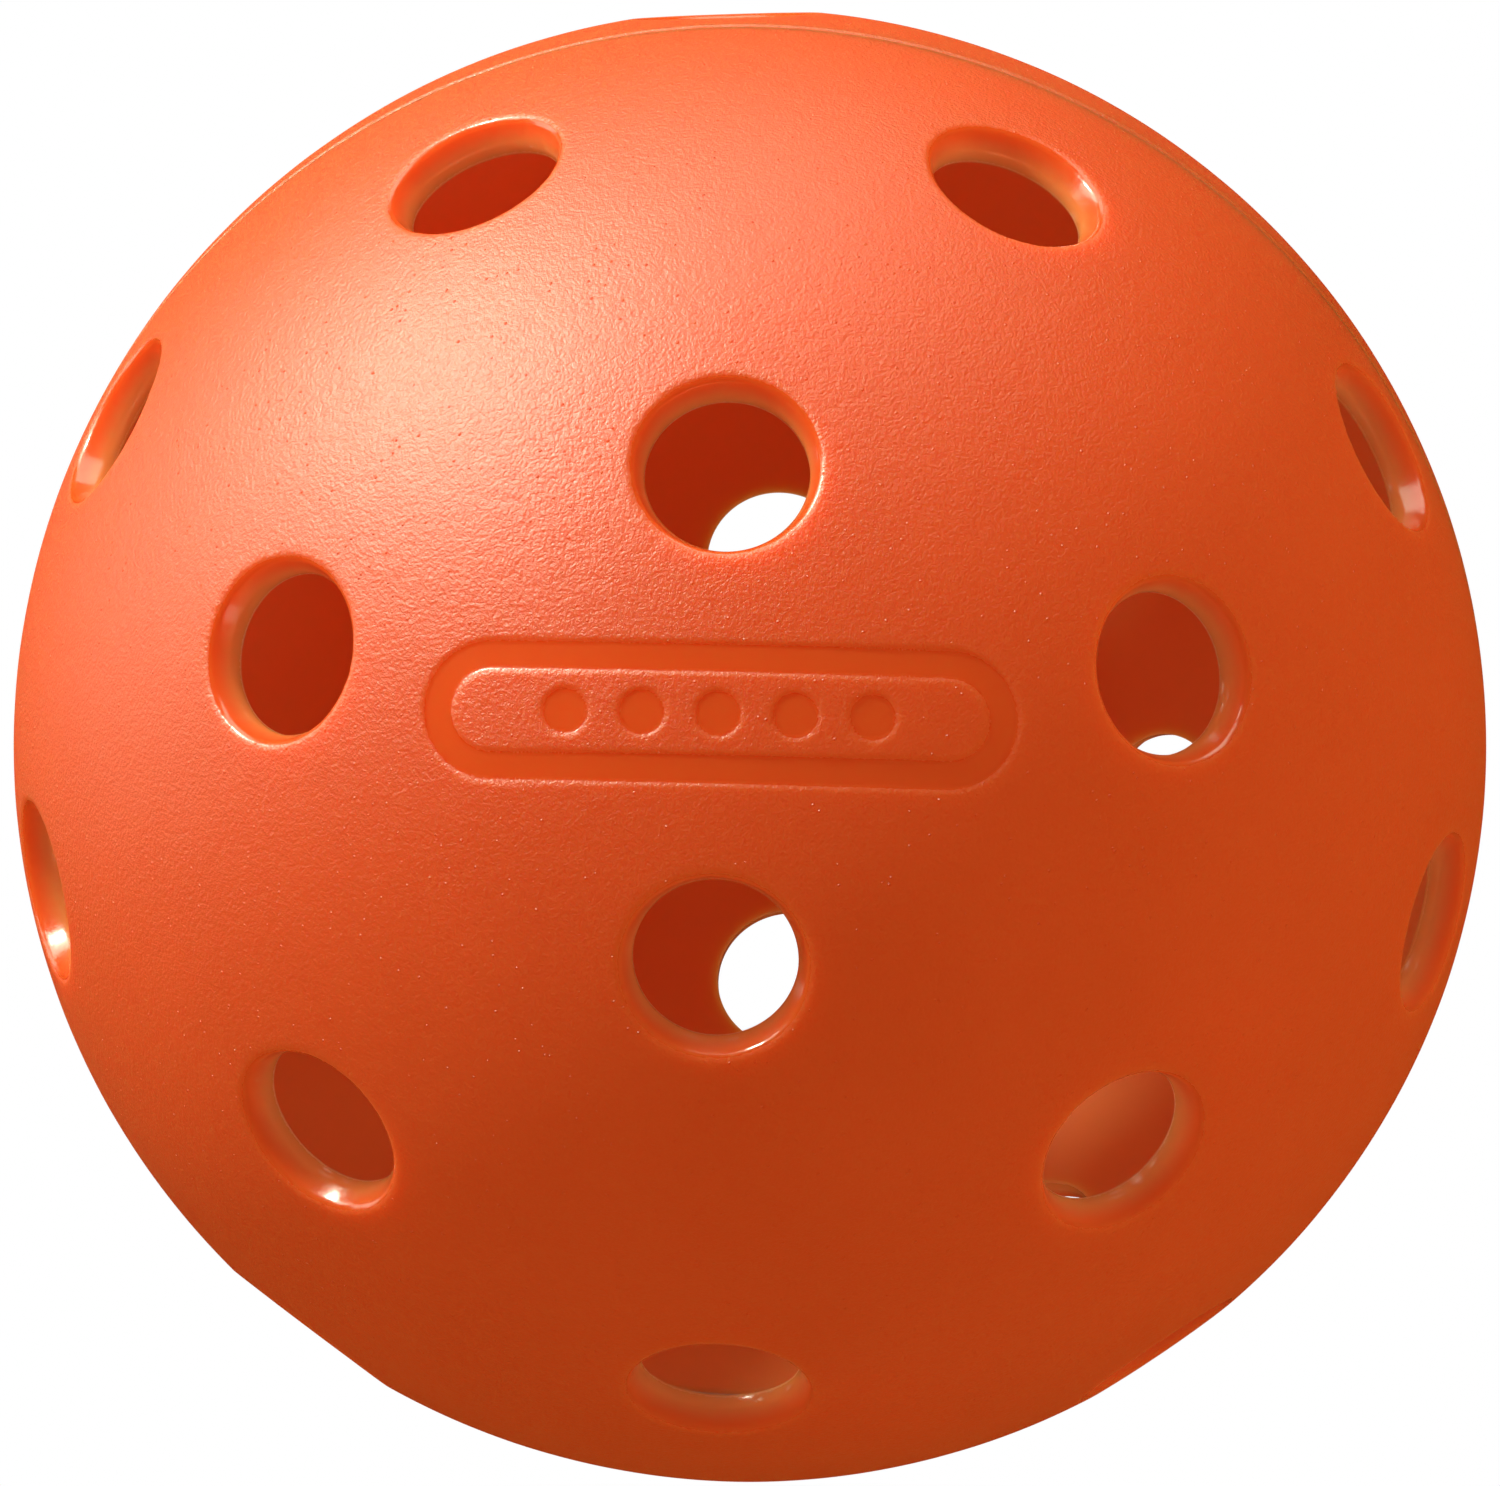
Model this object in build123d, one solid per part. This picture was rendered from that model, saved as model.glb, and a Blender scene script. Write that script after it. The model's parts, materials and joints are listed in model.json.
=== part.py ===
from build123d import *
from math import acos, asin, cos, degrees, pi, radians, sin, sqrt
import os

# A hollow plastic ball with 32 round holes, moulded as two half shells and welded round its middle.
# The origin is the ball's centre. Y is the weld axis and the weld lies in the XZ plane, with the front
# half shell on the -Y side. A hole is centred on each pole of the weld axis, and the moulded mark lies
# on the +Z side of the front pole.

# Driving dimensions, in millimetres and degrees
ball_diameter = 74.0
wall_thickness = 1.9
throat_diameter = 7.8        # the straight land at the inner end of each hole
throat_land = 0.6
mouth_diameter = 8.9         # where a hole's tapered wall would meet the outer surface
lip_radius = 0.5             # rounding of each hole's outer edge
weld_twist = 3.0             # how far the back half shell is welded out of line with the front one
tongue_height = 0.8          # the front half shell's tongue, which sits in the back one's rebate
tongue_thickness = 0.85
tongue_clearance = 0.05
weld_groove_width = 0.6      # the V groove round the outside of the joint, which the weld bead fills
weld_groove_depth = 0.35
bead_recess = 0.04           # how far the weld bead lies under the outer surface
mark_length = 28.0           # the moulded mark: a plain rounded frame round a row of dots
mark_width = 6.6
mark_line_width = 1.4
mark_dot_diameter = 2.2
mark_dot_pitch = 3.6
mark_dot_count = 5
mark_depth = 0.12
cutter_overshoot = 1.0       # how far each cutter runs past the surface that it cuts
surface_tolerance = 0.001    # a point this near to the outer surface lies on it

ball_radius = ball_diameter / 2
inner_radius = ball_radius - wall_thickness
throat_radius = throat_diameter / 2
mouth_radius = mouth_diameter / 2

# The holes are centred on the corners and faces of an icosahedron that has a face at each pole.
# These are the angles between its axes, and half the angle between the two holes of a close pair.
corner_to_face = degrees(acos(sqrt((5 + 2 * sqrt(5)) / 15)))
corner_to_far_face = degrees(acos(sqrt((5 - 2 * sqrt(5)) / 15)))
face_to_face = degrees(acos(sqrt(5) / 3))
face_to_second_face = degrees(acos(1 / 3))
pair_spread = degrees(asin(sin(radians(face_to_face / 2)) / sin(radians(face_to_second_face))))
mark_polar = corner_to_face / 2


def three_fold(start):
    """Azimuths of three holes evenly spaced round the pole."""
    return [start + turn * 360 / 3 for turn in range(3)]


# One half shell's holes: the angle from its pole, and the azimuths round it
hole_rings = [
    (0, [0]),
    (corner_to_face, three_fold(90)),
    (face_to_face, three_fold(30)),
    (face_to_second_face, three_fold(90 - pair_spread) + three_fold(90 + pair_spread)),
    (corner_to_far_face, three_fold(30)),
]


def front_direction(polar, azimuth):
    """Unit vector at an angle from the -Y pole, turned from +X towards +Z by the azimuth."""
    spread = sin(radians(polar))
    return Vector(spread * cos(radians(azimuth)), -cos(radians(polar)), spread * sin(radians(azimuth)))


def on_sphere(radius, y):
    """Point (distance from Y, y) on a sphere about the origin."""
    return (sqrt(radius**2 - y**2), y)


def halfway_up(radius, side):
    """Point on a sphere halfway between the weld plane and the pole at side * Y."""
    return on_sphere(radius, side * radius * sin(radians(45)))


def half_wall(side, rim):
    """Half of the hollow sphere with its pole at side * Y, revolved from its section.

    The rim is the section's outline at the joint, from the outer surface to the inner one.
    """
    outer_pole = (0, side * ball_radius)
    inner_pole = (0, side * inner_radius)
    outer_arc = ThreePointArc(outer_pole, halfway_up(ball_radius, side), rim[0])
    inner_arc = ThreePointArc(rim[-1], halfway_up(inner_radius, side), inner_pole)
    axis_line = Line(inner_pole, outer_pole)
    return revolve(make_face(outer_arc + Polyline(*rim) + inner_arc + axis_line), Axis.Y)


def hole_cutter(direction):
    """Straight land and tapered wall of one hole, coaxial with its direction from the ball's centre."""
    land_start = sqrt(inner_radius**2 - throat_radius**2)
    land_end = land_start + throat_land
    mouth_height = sqrt(ball_radius**2 - mouth_radius**2)
    taper = (mouth_radius - throat_radius) / (mouth_height - land_end)
    bottom = land_start - cutter_overshoot
    top = ball_radius + cutter_overshoot
    outline = Polyline(
        (0, bottom),
        (throat_radius, bottom),
        (throat_radius, land_end),
        (throat_radius + taper * (top - land_end), top),
        (0, top),
        close=True,
    )
    return Plane((0, 0, 0), z_dir=direction) * revolve(Plane.XZ * make_face(outline), Axis.Z)


def is_hole_mouth(edge):
    """True for the circle where a hole's wall meets the outer surface."""
    depths = [abs(edge.position_at(t).length - ball_radius) for t in (0, 0.5)]
    return max(depths) < surface_tolerance and edge.length < 2 * pi * mouth_diameter


def with_holes(wall):
    """The front half shell's wall with its holes cut and their lips rounded."""
    cutters = [
        hole_cutter(front_direction(polar, azimuth))
        for polar, azimuths in hole_rings
        for azimuth in azimuths
    ]
    holed = wall - cutters
    return fillet(list(filter(is_hole_mouth, holed.edges())), lip_radius)


def mark_cutter():
    """The moulded mark: a rounded frame and a row of dots, as deep as the mark all over."""
    line = 2 * mark_line_width
    frame = SlotOverall(mark_length, mark_width) - SlotOverall(mark_length - line, mark_width - line)
    dots = GridLocations(mark_dot_pitch, 0, mark_dot_count, 1) * Circle(mark_dot_diameter / 2)
    floor_radius = ball_radius - mark_depth
    plane = Plane((0, 0, 0), x_dir=(1, 0, 0), z_dir=front_direction(mark_polar, 90))
    prism = extrude(plane * (frame + dots), ball_radius + cutter_overshoot)
    return prism - Sphere(floor_radius)


groove_mouth = weld_groove_width / 2
groove_bottom = (ball_radius - weld_groove_depth, 0)
tongue_radius = inner_radius + tongue_thickness
rebate_radius = tongue_radius + tongue_clearance
rebate_depth = tongue_height + tongue_clearance


def front_half_shell():
    """Front half shell, with the tongue round its rim and the moulded mark."""
    rim = [
        on_sphere(ball_radius, -groove_mouth),
        groove_bottom,
        (tongue_radius, 0),
        (tongue_radius, tongue_height),
        on_sphere(inner_radius, tongue_height),
    ]
    return with_holes(half_wall(-1, rim)) - mark_cutter()


def back_half_shell():
    """Back half shell, with the rebate that takes the tongue, and the front one's holes turned over."""
    rim = [
        on_sphere(ball_radius, groove_mouth),
        groove_bottom,
        (rebate_radius, 0),
        (rebate_radius, rebate_depth),
        on_sphere(inner_radius, rebate_depth),
    ]
    turned_over = Rotation(180, 0, 0) * half_wall(1, rim)
    return Rotation(0, -weld_twist, 0) * Rotation(180, 0, 0) * with_holes(turned_over)


def weld_bead():
    """Ring of melted plastic that fills the V groove, a little under the outer surface."""
    fill = 1 - bead_recess / weld_groove_depth
    mouth = Vector(*on_sphere(ball_radius, groove_mouth))
    bottom = Vector(*groove_bottom)
    upper = bottom + (mouth - bottom) * fill
    lower = Vector(upper.X, -upper.Y)
    crown = ThreePointArc(lower, (ball_radius - bead_recess, 0), upper)
    return revolve(make_face(Polyline(upper, bottom, lower) + crown), Axis.Y)


os.makedirs("parts", exist_ok=True)
for node, solid in {
    "front_half_shell": front_half_shell(),
    "back_half_shell": back_half_shell(),
    "weld_bead": weld_bead(),
}.items():
    export_step(solid, f"parts/{node}.step")
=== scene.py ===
import json
import math

import bmesh
import bpy
import numpy as np
from mathutils import Matrix, Vector, noise


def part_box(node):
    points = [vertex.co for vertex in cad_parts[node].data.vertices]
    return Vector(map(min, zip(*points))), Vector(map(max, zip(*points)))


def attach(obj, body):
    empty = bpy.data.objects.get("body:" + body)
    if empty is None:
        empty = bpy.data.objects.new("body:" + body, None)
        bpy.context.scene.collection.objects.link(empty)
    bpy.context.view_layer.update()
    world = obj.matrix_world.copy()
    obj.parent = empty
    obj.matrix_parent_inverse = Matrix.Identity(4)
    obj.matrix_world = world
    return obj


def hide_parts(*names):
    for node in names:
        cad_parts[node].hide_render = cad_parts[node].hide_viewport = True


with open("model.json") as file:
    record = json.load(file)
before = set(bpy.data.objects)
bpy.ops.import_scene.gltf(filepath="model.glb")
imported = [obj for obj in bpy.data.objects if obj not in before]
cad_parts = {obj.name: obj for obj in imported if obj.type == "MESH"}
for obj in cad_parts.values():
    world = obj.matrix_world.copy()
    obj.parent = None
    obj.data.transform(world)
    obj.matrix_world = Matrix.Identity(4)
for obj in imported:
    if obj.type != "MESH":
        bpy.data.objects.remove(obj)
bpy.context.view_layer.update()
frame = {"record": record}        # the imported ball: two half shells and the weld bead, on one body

# Shapes are worked out in millimetres, and meshes are made in metres.
MM = 0.001

# Sizes of the ball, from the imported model
RECORD = frame["record"]
MOUNTS = {mount["name"]: mount for mount in RECORD["mounts"]}
OPENINGS = {opening["name"]: opening["box_m"] for opening in RECORD["physics"]["openings"]}
BALL_RADIUS = round(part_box("front_half_shell")[1].x / MM, 1)
BEAD_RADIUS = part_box("weld_bead")[1].x / MM
THROAT_RADIUS = MOUNTS["front_pole_hole"]["dims"]["r_mm"]
LAND = MOUNTS["front_pole_hole"]["dims"]["length_mm"]
LAND_MIDDLE = abs(MOUNTS["front_pole_hole"]["pos_m"][1]) / MM
LAND_START = LAND_MIDDLE - LAND / 2
INNER_RADIUS = math.hypot(THROAT_RADIUS, LAND_START)
TONGUE_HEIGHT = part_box("front_half_shell")[1].y / MM

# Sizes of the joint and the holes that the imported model's boxes don't give
MOUTH_RADIUS = 4.45          # where a hole's tapered wall would meet the outer surface
LIP_RADIUS = 0.5
THROAT_EDGE = 0.08           # rounding of each hole's inner edge
THROAT_EDGE_ARC = (math.pi, math.pi * 1.4)
GROOVE_HALF_WIDTH = 0.3
GROOVE_DEPTH = 0.35
TONGUE_THICKNESS = 0.85
TONGUE_RADIUS = INNER_RADIUS + TONGUE_THICKNESS
JOINT_CLEARANCE = 0.05

# The moulded mark: a plain rounded frame round a row of dots
MARK_LENGTH = 28.0
MARK_WIDTH = 6.6
MARK_LINE = 1.4
MARK_DOT_RADIUS = 1.1
MARK_DOT_PITCH = 3.6
MARK_DOTS = 5
MARK_DEPTH = 0.12
MARK_EDGE = 0.22             # width of the mark's sloping sides
NEAR_MARK = 0.9              # cosine of an angle from the mark's centre that takes in all of it

# Mesh density
EDGE_STEP = 0.65             # spacing of the points along the cells' borders
OUTER_LOOPS = 17
LIP_LOOPS = 6
WALL_LOOPS = 4
EDGE_LOOPS = 3
INNER_LOOPS = 8
OUTER_CROWDING = 1.15        # above 1, the loops lie closer together near the hole
INNER_CROWDING = 1.1
SEAM_ZONE = 2.2              # how far from the joint the loops shift to make room for it
WELD_GAP = 0.002             # points this near to each other are joined
SEAM_TOLERANCE = 1e-6        # a point this near to the joint lies on it, for a ball of radius 1
AZIMUTH_STEP = 1e-5          # azimuths closer than this are the same point, in radians
SURFACE_TOLERANCE = 0.05     # a point this near to the outer surface lies on it
MARK_MARGIN = 0.8            # how far round the mark the faces are divided
MARK_CUTS = 3
BEAD_POINTS = 900
BEAD_LOOPS = 9

# Unevenness of the moulding, as layers of noise: height, size across, and seed
SHELL_WAVES = ((0.02, 9.0, 1), (0.006, 2.2, 2))
WAVES_FADE = 0.5             # how far below the outer surface the shell's waves die out
LIP_WAVES = ((0.055, 0.45, 3), (0.03, 1.4, 4))
LIP_BAND_OFFSET = 0.25       # the ragged band round each hole, outside the hole's mouth
LIP_BAND_WIDTH = 0.35
LIP_BAND_DEPTH = 0.6
LIP_BAND_FLOOR = 0.02        # the band ends where its strength falls to this
BEAD_WAVES = ((0.02, 0.9, 5),)
BEAD_SINK = 0.015
BEAD_DROOP = 0.03            # how much lower the bead's crown is at its sides


def unit(vector):
    """Vector of length one in the same direction."""
    vector = np.asarray(vector, float)
    return vector / np.linalg.norm(vector, axis=-1, keepdims=True)


def hole_directions(side):
    """Unit vectors from the ball's centre through one half shell's holes, the pole's first."""
    name = "front" if side < 0 else "back"
    pole = MOUNTS[name + "_pole_hole"]["pos_m"]
    centres = [pole] + [np.mean(box, 0) for key, box in OPENINGS.items() if key.startswith(name)]
    return unit(centres)


def tangents(direction):
    """Two unit vectors square to a direction and to each other."""
    helper = np.array([0.0, 0.0, 1.0]) if abs(direction[2]) < 0.9 else np.array([1.0, 0.0, 0.0])
    across = unit(np.cross(helper, direction))
    return across, np.cross(direction, across)


def cell_corners(site, others, side):
    """Corners of the part of one half of the sphere that is nearer to this hole than to any other.

    The cell is cut with straight lines on the plane that touches the sphere at the hole, where every
    great circle is a straight line.
    """
    across, up = tangents(site)
    corners = [np.array(c, float) for c in ((-3, -3), (3, -3), (3, 3), (-3, 3))]
    borders = [site - other for other in others] + [np.array([0.0, side, 0.0])]
    for border in borders:
        def height(c, border=border):
            return border @ (site + c[0] * across + c[1] * up)

        kept = []
        for a, b in zip(corners, corners[1:] + corners[:1]):
            if height(a) >= 0:
                kept.append(a)
            if (height(a) >= 0) != (height(b) >= 0):
                kept.append(a + (b - a) * height(a) / (height(a) - height(b)))
        corners = kept
    return [unit(site + c[0] * across + c[1] * up) for c in corners]


def border_points(corners):
    """Evenly spaced unit vectors round a cell, the same from either side of each border."""
    points = []
    for a, b in zip(corners, corners[1:] + corners[:1]):
        swap = tuple(np.round(a, 6)) > tuple(np.round(b, 6))
        start, end = (b, a) if swap else (a, b)
        angle = math.acos(min(1.0, start @ end))
        count = max(1, round(angle * BALL_RADIUS / EDGE_STEP))
        steps = np.arange(count + 1)[:, None] / count
        arc = (np.sin((1 - steps) * angle) * start + np.sin(steps * angle) * end) / math.sin(angle)
        points.extend((arc[::-1] if swap else arc)[:-1])
    return np.array(points)


def shift_seam(directions, side, seam_y, radius):
    """Moves directions near the joint so that those on it come to the height seam_y."""
    latitude = np.arcsin(np.clip(directions[..., 1] * side, -1, 1))
    zone = SEAM_ZONE / radius
    start = math.asin(seam_y * side / radius)
    moved = np.where(latitude < zone, start + latitude * (1 - start / zone), latitude)
    flat = directions * np.array([1.0, 0.0, 1.0])
    return unit(flat) * np.cos(moved)[..., None] + np.array([0.0, side, 0.0]) * np.sin(moved)[..., None]


def hole_profile():
    """Radius and height of each loop down a hole, from the outer surface to the inner one."""
    mouth_height = math.sqrt(BALL_RADIUS**2 - MOUTH_RADIUS**2)
    land_end = LAND_START + LAND
    slope = np.array([MOUTH_RADIUS - THROAT_RADIUS, mouth_height - land_end])
    slope /= np.linalg.norm(slope)
    inward = np.array([slope[1], -slope[0]])
    foot = np.array([THROAT_RADIUS, land_end]) + LIP_RADIUS * inward
    along = foot @ slope
    reach = math.sqrt(along**2 - foot @ foot + (BALL_RADIUS - LIP_RADIUS) ** 2) - along
    centre = foot + reach * slope
    outer_angle = math.atan2(centre[1], centre[0])
    wall_angle = math.atan2(-inward[1], -inward[0])
    angles = np.linspace(outer_angle, wall_angle, LIP_LOOPS + 1)
    lip = centre + LIP_RADIUS * np.stack([np.cos(angles), np.sin(angles)], 1)
    taper_end = np.array([THROAT_RADIUS, land_end])
    taper = lip[-1] + (taper_end - lip[-1]) * np.linspace(0, 1, WALL_LOOPS + 1)[1:, None]
    edge_angles = np.linspace(*THROAT_EDGE_ARC, EDGE_LOOPS + 1)
    edge_centre = np.array([THROAT_RADIUS + THROAT_EDGE, LAND_START + THROAT_EDGE])
    edge = edge_centre + THROAT_EDGE * np.stack([np.cos(edge_angles), np.sin(edge_angles)], 1)
    return np.concatenate([lip, taper, edge])


def surface_loops(site, border, hole_angle, count, crowd):
    """Directions of the loops between a hole and its cell's border, from the border inwards."""
    away = unit(border - (border @ site)[:, None] * site)
    border_angle = np.arccos(np.clip(border @ site, -1, 1))
    shares = np.linspace(1, 0, count + 1)[:-1] ** crowd
    angles = hole_angle + (border_angle - hole_angle) * shares[:, None]
    return site * np.cos(angles)[..., None] + away * np.sin(angles)[..., None]


def loop_mesh(loops):
    """Points and faces of a skin stretched over closed loops, each with the same number of points."""
    rows, columns = loops.shape[:2]
    index = np.arange(rows * columns).reshape(rows, columns)
    following = np.roll(index, -1, 1)
    faces = np.stack([index[:-1], following[:-1], following[1:], index[1:]], -1).reshape(-1, 4)
    return loops.reshape(-1, 3), faces


def cell_mesh(site, others, side, inner_seam_y):
    """Points and faces of the shell round one hole: outer surface, hole wall and inner surface."""
    border = border_points(cell_corners(site, others, side))
    away = unit(border - (border @ site)[:, None] * site)
    profile = hole_profile()
    hole_angle = math.atan2(profile[0][0], profile[0][1])
    throat_angle = math.atan2(profile[-1][0], profile[-1][1])
    outer = surface_loops(site, border, hole_angle, OUTER_LOOPS, OUTER_CROWDING)
    outer = shift_seam(outer, side, side * GROOVE_HALF_WIDTH, BALL_RADIUS) * BALL_RADIUS
    wall = profile[:, 0][:, None, None] * away + profile[:, 1][:, None, None] * site
    inner = surface_loops(site, border, throat_angle, INNER_LOOPS, INNER_CROWDING)[::-1]
    inner = shift_seam(inner, side, inner_seam_y, INNER_RADIUS) * INNER_RADIUS
    loops = np.concatenate([outer, wall, inner])
    return loop_mesh(loops)


def ring_mesh(azimuths, profile):
    """Points and faces of a band round the Y axis with the given (radius, y) loops."""
    around = np.stack([np.cos(azimuths), np.zeros_like(azimuths), np.sin(azimuths)], -1)
    profile = np.asarray(profile, float)
    loops = profile[:, 0][:, None, None] * around + profile[:, 1][:, None, None] * np.array([0.0, 1.0, 0.0])
    return loop_mesh(loops)


def join_meshes(parts):
    """One list of points and one of faces from several."""
    starts = np.cumsum([0] + [len(points) for points, _ in parts[:-1]])
    points = np.concatenate([points for points, _ in parts])
    faces = np.concatenate([faces + start for (_, faces), start in zip(parts, starts)])
    return points, faces


def mark_distance(points):
    """Distance in mm from the nearest line or dot of the moulded mark, negative inside it."""
    width = MARK_WIDTH / 2
    upright = unit(np.cross(MARK_CENTRE, [1.0, 0.0, 0.0]))
    across, up = points[:, 0], points @ -upright
    run = np.maximum(np.abs(across) - (MARK_LENGTH / 2 - width), 0)
    frame_line = np.abs(np.hypot(run, up) - (width - MARK_LINE / 2)) - MARK_LINE / 2
    last = (MARK_DOTS - 1) / 2 * MARK_DOT_PITCH
    nearest = np.clip(np.round(across / MARK_DOT_PITCH) * MARK_DOT_PITCH, -last, last)
    dots = np.hypot(across - nearest, up) - MARK_DOT_RADIUS
    return np.minimum(frame_line, dots)


def smooth_step(values, low, high):
    """0 below low, 1 above high, and smooth between."""
    t = np.clip((values - low) / (high - low), 0, 1)
    return t * t * (3 - 2 * t)


def noise_field(points, scale, seed):
    """Smooth noise at each point, from -1 to 1, with features about scale mm across."""
    offset = Vector((seed * 17.3, seed * 5.1, seed * 9.7))
    return np.array([noise.noise(Vector(p) / scale + offset) for p in points])


def waves(points, layers):
    """Sum of several layers of noise at each point, in mm."""
    return sum(height * noise_field(points, scale, seed) for height, scale, seed in layers)


def refine_mark(mesh):
    """Divides the faces round the moulded mark so that its sides are sharp."""
    faces = []
    for face in mesh.faces:
        centre = np.array(face.calc_center_median())
        is_below = np.linalg.norm(centre) < BALL_RADIUS - SURFACE_TOLERANCE
        if is_below or centre @ MARK_CENTRE < BALL_RADIUS * NEAR_MARK:
            continue
        if mark_distance(centre[None])[0] < MARK_MARGIN:
            faces.append(face)
    edges = list({edge for face in faces for edge in face.edges})
    made = bmesh.ops.subdivide_edges(mesh, edges=edges, cuts=MARK_CUTS, use_grid_fill=True)
    for item in made["geom_inner"]:
        if isinstance(item, bmesh.types.BMVert):
            item.co = item.co.normalized() * BALL_RADIUS


def finish_surface(points, side):
    """Small unevenness of the moulded shell, and the mark on the front one."""
    radii = np.linalg.norm(points, axis=1)
    directions = points / radii[:, None]
    outer = smooth_step(radii, BALL_RADIUS - WAVES_FADE, BALL_RADIUS)
    seam = smooth_step(np.abs(points[:, 1]), GROOVE_HALF_WIDTH, SEAM_ZONE)
    depth = waves(points, SHELL_WAVES) * outer * seam
    if side < 0:
        mark = 1 - smooth_step(mark_distance(points), -MARK_EDGE / 2, MARK_EDGE / 2)
        near = directions @ MARK_CENTRE > NEAR_MARK
        depth = depth - MARK_DEPTH * mark * near * (radii > BALL_RADIUS - SURFACE_TOLERANCE)
    return points + directions * depth[:, None]


def rag_lips(points, directions):
    """Slightly ragged outer lips, where the surface texture runs over the edge of each hole."""
    nearest = np.argmax(points @ directions.T, axis=1)
    axis = directions[nearest]
    height = np.sum(points * axis, axis=1)
    away = points - height[:, None] * axis
    rho = np.linalg.norm(away, axis=1)
    radii = np.linalg.norm(points, axis=1)
    from_band = (rho - MOUTH_RADIUS - LIP_BAND_OFFSET) / LIP_BAND_WIDTH
    near = np.exp(-(from_band**2)) * (radii > BALL_RADIUS - LIP_BAND_DEPTH)
    ragged = np.zeros(len(points))
    chosen = near > LIP_BAND_FLOOR
    ragged[chosen] = waves(points[chosen], LIP_WAVES)
    return points + (away / rho[:, None]) * (ragged * near)[:, None]


def to_object(name, mesh, material):
    """Blender object from a bmesh in mm, smooth shaded, that rides on the ball's body."""
    bmesh.ops.recalc_face_normals(mesh, faces=mesh.faces)
    bmesh.ops.scale(mesh, vec=(MM, MM, MM), verts=mesh.verts)
    data = bpy.data.meshes.new(name)
    mesh.to_mesh(data)
    mesh.free()
    data.shade_smooth()
    data.materials.append(material)
    piece = bpy.data.objects.new(name, data)
    bpy.context.scene.collection.objects.link(piece)
    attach(piece, "root")
    return piece


def to_bmesh(points, faces):
    """Closed bmesh from points and faces, with the borders between cells joined."""
    data = bpy.data.meshes.new("draft")
    data.from_pydata(points.tolist(), [], faces.tolist())
    mesh = bmesh.new()
    mesh.from_mesh(data)
    bpy.data.meshes.remove(data)
    bmesh.ops.remove_doubles(mesh, verts=mesh.verts, dist=WELD_GAP)
    return mesh


def seam_azimuths(directions, side):
    """Azimuths round Y of the cells' border points that lie on the joint."""
    found = []
    for i, site in enumerate(directions):
        border = border_points(cell_corners(site, np.delete(directions, i, 0), side))
        on_seam = border[np.abs(border[:, 1]) < SEAM_TOLERANCE]
        found.extend(np.arctan2(on_seam[:, 2], on_seam[:, 0]) % (2 * math.pi))
    ordered = np.sort(np.array(found))
    return ordered[np.append(np.diff(ordered) > AZIMUTH_STEP, True)]


def half_shell(name, side, material):
    """One half shell with its holes, lips, joint and surface finish."""
    directions = hole_directions(side)
    is_front = side < 0
    step_radius = TONGUE_RADIUS + (0 if is_front else JOINT_CLEARANCE)
    inner_seam_y = TONGUE_HEIGHT + (0 if is_front else JOINT_CLEARANCE)
    parts = [
        cell_mesh(site, np.delete(directions, i, 0), side, inner_seam_y)
        for i, site in enumerate(directions)
    ]
    groove_y = side * GROOVE_HALF_WIDTH
    rim = [
        (math.sqrt(BALL_RADIUS**2 - groove_y**2), groove_y),
        (BALL_RADIUS - GROOVE_DEPTH, 0),
        (step_radius, 0),
        (step_radius, inner_seam_y),
        (math.sqrt(INNER_RADIUS**2 - inner_seam_y**2), inner_seam_y),
    ]
    parts.append(ring_mesh(seam_azimuths(directions, side), rim))
    mesh = to_bmesh(*join_meshes(parts))
    if is_front:
        refine_mark(mesh)
    points = np.array([v.co for v in mesh.verts])
    points = finish_surface(rag_lips(points, directions), side)
    for vert, point in zip(mesh.verts, points):
        vert.co = point
    piece = to_object(name, mesh, material)
    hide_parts(name.replace("moulded_", ""))


def weld_bead(material):
    """The ring of melted plastic in the joint's groove, with a slightly uneven crown."""
    azimuths = np.arange(BEAD_POINTS) * 2 * math.pi / BEAD_POINTS
    groove_bottom = BALL_RADIUS - GROOVE_DEPTH
    fill = (BEAD_RADIUS - groove_bottom) / GROOVE_DEPTH
    half = GROOVE_HALF_WIDTH * fill
    heights = np.linspace(-half, half, BEAD_LOOPS)
    crown = [(BEAD_RADIUS - BEAD_DROOP * (y / half) ** 2, y) for y in heights]
    mesh = to_bmesh(*ring_mesh(azimuths, [(groove_bottom, 0)] + crown + [(groove_bottom, 0)]))
    points = np.array([v.co for v in mesh.verts])
    reach = np.hypot(points[:, 0], points[:, 2])
    lift = smooth_step(reach, groove_bottom, BEAD_RADIUS) * (waves(points, BEAD_WAVES) - BEAD_SINK)
    scale = 1 + lift / reach
    points = points * np.stack([scale, np.ones_like(scale), scale], 1)
    for vert, point in zip(mesh.verts, points):
        vert.co = point
    piece = to_object("melted_weld_bead", mesh, material)
    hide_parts("weld_bead")


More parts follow.
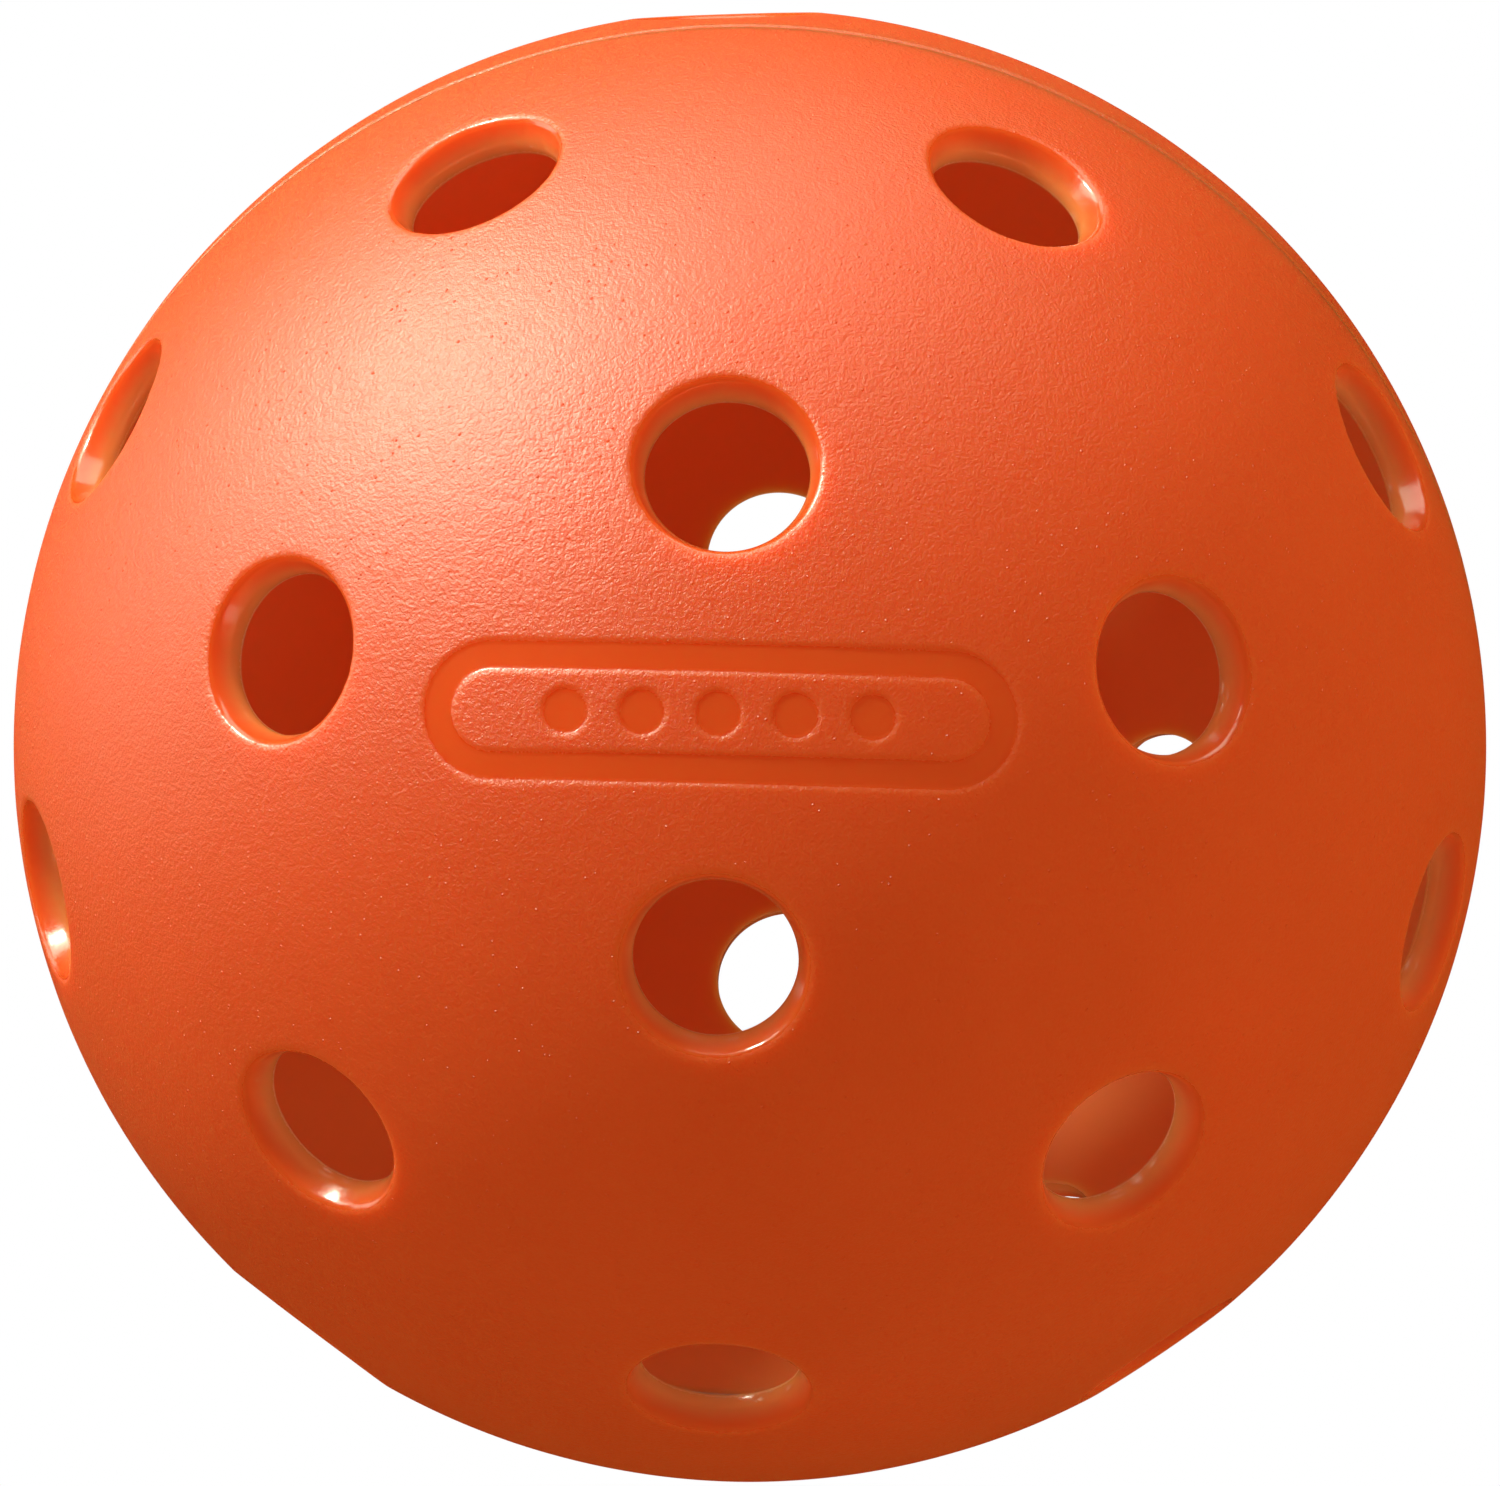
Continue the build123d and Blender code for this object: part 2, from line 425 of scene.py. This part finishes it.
class Nodes:
    """Short calls for building one material's node tree."""

    def __init__(self, name):
        self.material = bpy.data.materials.new(name)
        self.material.use_nodes = True
        self.tree = self.material.node_tree
        self.shader = self.tree.nodes["Principled BSDF"]

    def add(self, kind, inputs=None, **settings):
        """Adds a node, sets its properties, and links or sets its inputs."""
        node = self.tree.nodes.new(kind)
        for key, value in settings.items():
            setattr(node, key, value)
        self.set(node, inputs or {})
        return node

    def set(self, node, inputs):
        """Links or sets a node's inputs by name or number."""
        for key, value in inputs.items():
            if isinstance(value, bpy.types.NodeSocket):
                self.tree.links.new(value, node.inputs[key])
            else:
                node.inputs[key].default_value = value

    def math(self, operation, *values):
        """Output of a Math node."""
        return self.add("ShaderNodeMath", dict(enumerate(values)), operation=operation).outputs[0]

    def spread(self, value, low, high, to_low=0.0, to_high=1.0):
        """Output of a smooth Map Range node."""
        inputs = {"Value": value, "From Min": low, "From Max": high, "To Min": to_low, "To Max": to_high}
        node = self.add("ShaderNodeMapRange", inputs, interpolation_type="SMOOTHSTEP")
        return node.outputs["Result"]

    def mix(self, share, first, second):
        """Output of a Mix node between two colours, whose colour inputs are numbers 6 and 7."""
        node = self.add("ShaderNodeMix", data_type="RGBA")
        self.set(node, {0: share, 6: first, 7: second})
        return node.outputs[2]

    def noise(self, vector, scale, detail=2.0, roughness=0.5):
        """Height of a Noise Texture node."""
        inputs = {"Vector": vector, "Scale": scale, "Detail": detail, "Roughness": roughness}
        return self.add("ShaderNodeTexNoise", inputs).outputs["Fac"]


# The plastic, with its lengths in millimetres
ORANGE = (0.79, 0.099, 0.013, 1)
PALER_ORANGE = (0.81, 0.103, 0.014, 1)
PAINTED_GLOW_ORANGE = (0.90, 0.29, 0.075, 1)    # painted light: the inside of the ball is painted paler, to stand in for light that reaches through the wall
PATCHES_PER_MM = 0.09
GRAIN_DEPTH = 0.14
COARSE_GRAIN_PER_MM = 1.6
FINE_GRAIN_PER_MM = 5.5
PIMPLES_PER_MM = 2.4
PIMPLE_SHADE = 0.74                    # a place gets a pimple where its random shade is over this
PIMPLE_SIDES = (0.05, 0.22)            # where a pimple's side starts and ends, in its own cell's units
COARSE_SHARE = 0.3
FINE_SHARE = 0.6
PIMPLE_SHARE = 0.9
NOISE_RANGE = (0.3, 0.7)               # the part of a noise's height that is spread over a range
OUTER_SKIN = (0.11, 0.04)              # depths between which the outer surface's grain sets in
LIT_DEPTH = 0.1                        # how deep the outer colour lasts before it starts to change to the paler inside colour, painted as light through the wall
INNER_SKIN = (0.05, 0.2)               # heights between which the inner surface's dullness ends
INSIDE_GRAIN = 0.03                    # strength of the grain left on the hole walls and inside
ROUGHNESS = (0.36, 0.48)
WALL_POLISH = 0.22                     # how much less rough the hole walls are
SHINE = 0.9                            # specular level of the outer surface
INNER_DULLNESS = 0.86                  # how much less the inner surface shines
SHINE_TINT = (1.0, 1.0, 0.86, 1.0)
REFRACTION = 1.7
SCATTER_DEPTH = 3.0
SCATTER_BY_COLOUR = (1.0, 0.7, 0.5)


def grain_height(nodes, in_mm, fine):
    """Height of the outer surface: coarse and fine leather grain, and scattered pimples."""
    coarse = nodes.noise(in_mm, COARSE_GRAIN_PER_MM, 2.0)
    specks = nodes.add("ShaderNodeTexVoronoi", {"Vector": in_mm, "Scale": PIMPLES_PER_MM})
    chosen = nodes.math("GREATER_THAN", specks.outputs["Color"], PIMPLE_SHADE)
    tops = nodes.spread(specks.outputs["Distance"], *PIMPLE_SIDES, 1.0, 0.0)
    pimples = nodes.math("MULTIPLY", tops, chosen)
    height = nodes.math("MULTIPLY", coarse, COARSE_SHARE)
    for layer, share in ((fine, FINE_SHARE), (pimples, PIMPLE_SHARE)):
        height = nodes.math("ADD", height, nodes.math("MULTIPLY", layer, share))
    return height


def shell_plastic(name, grain_strength, scatter):
    """Satin orange plastic with a fine leather grain on the outer surface, smooth hole walls, and an inside
    painted paler to stand in for light that reaches through the wall.
    """
    nodes = Nodes(name)
    place = nodes.add("ShaderNodeTexCoord").outputs["Object"]
    scaled = nodes.add("ShaderNodeVectorMath", {0: place, "Scale": 1 / MM}, operation="SCALE")
    in_mm = scaled.outputs[0]
    reach = nodes.add("ShaderNodeVectorMath", {0: in_mm}, operation="LENGTH").outputs["Value"]

    # Where each surface is, by its distance from the ball's centre
    outside = nodes.spread(reach, *(BALL_RADIUS - depth for depth in OUTER_SKIN))
    # painted light: the colour is painted paler towards the inner surface, standing in for light that
    # reaches through the wall
    inside = nodes.spread(reach, INNER_RADIUS, BALL_RADIUS - LIT_DEPTH, 1.0, 0.0)
    inner_face = nodes.spread(reach, *(INNER_RADIUS + height for height in INNER_SKIN), 1.0, 0.0)
    not_outside = nodes.math("SUBTRACT", 1.0, outside)
    smooth_walls = nodes.math("SUBTRACT", not_outside, inner_face)

    fine = nodes.noise(in_mm, FINE_GRAIN_PER_MM, 3.0, 0.6)
    height = grain_height(nodes, in_mm, fine)
    strength = nodes.math("ADD", nodes.math("MULTIPLY", outside, grain_strength), INSIDE_GRAIN)
    bump_inputs = {"Height": height, "Strength": strength, "Distance": GRAIN_DEPTH * MM}
    bump = nodes.add("ShaderNodeBump", bump_inputs)

    patches = nodes.spread(nodes.noise(in_mm, PATCHES_PER_MM, 3.0), *NOISE_RANGE)
    outer_colour = nodes.mix(patches, ORANGE, PALER_ORANGE)
    rough = nodes.spread(fine, *NOISE_RANGE, *ROUGHNESS)
    polish = nodes.math("MULTIPLY", smooth_walls, WALL_POLISH)
    dullness = nodes.math("MULTIPLY", inner_face, INNER_DULLNESS)
    inputs = {
        # the inside gets the paler colour painted as light through the wall
        "Base Color": nodes.mix(inside, outer_colour, PAINTED_GLOW_ORANGE),
        "Roughness": nodes.math("SUBTRACT", rough, polish),
        "IOR": REFRACTION,
        "Specular Tint": SHINE_TINT,
        "Specular IOR Level": nodes.math("SUBTRACT", SHINE, dullness),
        "Subsurface Weight": scatter,
        "Subsurface Radius": SCATTER_BY_COLOUR,
        "Subsurface Scale": SCATTER_DEPTH * MM,
        "Normal": bump.outputs["Normal"],
    }
    nodes.set(nodes.shader, inputs)
    return nodes.material


# The camera's place, seen from the ball's centre
CAMERA_AZIMUTH = math.radians(2.45)
CAMERA_ELEVATION = math.radians(16.41)
CAMERA_ROLL = math.radians(0.6)
CAMERA_DISTANCE = 13.066 * BALL_RADIUS * MM
LENS = 230.2
SENSOR = 36.0
SHIFT_UP = 0.00167
NEAREST_SEEN = 0.01

# The studio
LAMP_DISTANCE = 0.5
WARM_WHITE = (1.0, 0.99, 0.91)
FLOOR_REACH = 3.0
ROOM_LIGHT = 0.61            # how bright the background and floor are to everything but the camera


def add_camera():
    """Camera at a long focal length, looking at the ball from the front and a little above."""
    data = bpy.data.cameras.new("camera")
    data.lens = LENS
    data.sensor_width = SENSOR
    data.shift_y = SHIFT_UP
    data.clip_start = NEAREST_SEEN
    camera = bpy.data.objects.new("camera", data)
    flat = math.cos(CAMERA_ELEVATION)
    place = Vector((
        math.sin(CAMERA_AZIMUTH) * flat,
        -math.cos(CAMERA_AZIMUTH) * flat,
        math.sin(CAMERA_ELEVATION),
    )) * CAMERA_DISTANCE
    turn = (-place).to_track_quat("-Z", "Y").to_matrix().to_4x4()
    camera.matrix_world = Matrix.Translation(place) @ turn @ Matrix.Rotation(CAMERA_ROLL, 4, "Z")
    bpy.context.scene.collection.objects.link(camera)
    bpy.context.scene.camera = camera
    return camera


def add_lamp(name, camera, direction, size, power, shines=True):
    """Square soft box that faces the ball. Its direction is right, up and back towards the camera."""
    data = bpy.data.lights.new(name, "AREA")
    data.size = size
    data.energy = power
    data.color = WARM_WHITE
    lamp = bpy.data.objects.new(name, data)
    axes = camera.matrix_world.to_3x3()
    place = (axes @ Vector(direction)).normalized() * LAMP_DISTANCE
    lamp.matrix_world = Matrix.Translation(place) @ (-place).to_track_quat("-Z", "Y").to_matrix().to_4x4()
    lamp.visible_glossy = shines
    bpy.context.scene.collection.objects.link(lamp)


def add_world():
    """White background behind the ball, and an even soft light that doesn't shine in the plastic."""
    world = bpy.data.worlds.new("studio")
    bpy.context.scene.world = world
    world.use_nodes = True
    tree = world.node_tree
    seen = tree.nodes["Background"]
    seen.inputs["Color"].default_value = (1, 1, 1, 1)
    unseen = tree.nodes.new("ShaderNodeBackground")
    unseen.inputs["Color"].default_value = (1, 1, 1, 1)
    unseen.inputs["Strength"].default_value = ROOM_LIGHT
    path = tree.nodes.new("ShaderNodeLightPath")
    mix = tree.nodes.new("ShaderNodeMixShader")
    tree.links.new(path.outputs["Is Camera Ray"], mix.inputs["Fac"])
    tree.links.new(unseen.outputs[0], mix.inputs[1])
    tree.links.new(seen.outputs[0], mix.inputs[2])
    tree.links.new(mix.outputs[0], tree.nodes["World Output"].inputs["Surface"])
    world.cycles_visibility.glossy = False


def add_floor():
    """Plain white floor, which throws an even soft light up at the ball."""
    data = bpy.data.meshes.new("floor")
    corners = [(-1, -1), (1, -1), (1, 1), (-1, 1)]
    height = -BALL_RADIUS * MM
    data.from_pydata([(x * FLOOR_REACH, y * FLOOR_REACH, height) for x, y in corners], [], [(0, 1, 2, 3)])
    floor = bpy.data.objects.new("floor", data)
    bpy.context.scene.collection.objects.link(floor)
    nodes = Nodes("floor_paint")
    path = nodes.add("ShaderNodeLightPath")
    strength = nodes.spread(path.outputs["Is Camera Ray"], 0.0, 1.0, ROOM_LIGHT, 1.0)
    glow = nodes.add("ShaderNodeEmission", {"Color": (1, 1, 1, 1), "Strength": strength})
    nodes.tree.links.new(glow.outputs[0], nodes.tree.nodes["Material Output"].inputs["Surface"])
    data.materials.append(nodes.material)
    floor.visible_glossy = False


def add_studio(camera):
    """Pale floor and background, and soft boxes round the ball."""
    add_world()
    add_floor()
    add_lamp("key", camera, (-0.67, 0.72, 0.18), 0.30, 1.0)
    add_lamp("key_bulb", camera, (-0.60, 0.73, 0.31), 0.06, 1.6)
    add_lamp("left", camera, (-0.9, 0.25, -0.25), 0.30, 0.45)
    add_lamp("top", camera, (0, 1, 0.1), 0.40, 0.88)
    add_lamp("right", camera, (1, -0.05, 0.02), 0.20, 0.9, shines=False)


# The mark lies halfway between the hole at the front pole and the one above it
POLE_HOLE, UPPER_HOLE = hole_directions(-1)[:2]
MARK_CENTRE = unit(POLE_HOLE + UPPER_HOLE)

# The bead is too thin to scatter light inside itself
shell_material = shell_plastic("orange_plastic", grain_strength=0.85, scatter=1.0)
bead_material = shell_plastic("melted_plastic", grain_strength=0.3, scatter=0.0)
half_shell("moulded_front_half_shell", -1, shell_material)
half_shell("moulded_back_half_shell", 1, shell_material)
weld_bead(bead_material)
add_studio(add_camera())
bpy.context.scene.view_settings.view_transform = "Standard"
